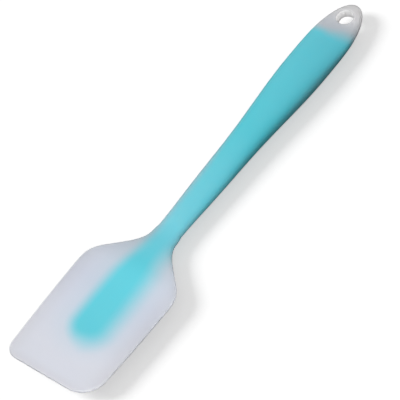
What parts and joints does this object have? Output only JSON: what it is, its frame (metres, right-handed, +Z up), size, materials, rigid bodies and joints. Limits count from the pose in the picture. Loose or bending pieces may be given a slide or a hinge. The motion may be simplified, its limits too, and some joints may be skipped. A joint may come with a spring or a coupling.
{
  "type": "kitchen spatula",
  "caption": "Flexible flat spatula: a translucent silicone blade, sleeve and hanging end moulded in one over a stiff coloured nylon core.",
  "frame": {"origin": "under the middle of the spatula's length, level with the lowest point of the handle, with the spatula lying flat", "axes": "+X from the blade's tip to the hanging end, +Y across the blade, +Z up, square to the blade"},
  "size_m": [0.28, 0.0646, 0.0134],
  "materials": {
    "translucent_silicone": "frosted, translucent",
    "turquoise_nylon": "satin"
  },
  "bodies": {
    "root": {"silicone_jacket": "translucent_silicone", "nylon_core": "turquoise_nylon"}
  },
  "joints": []
}
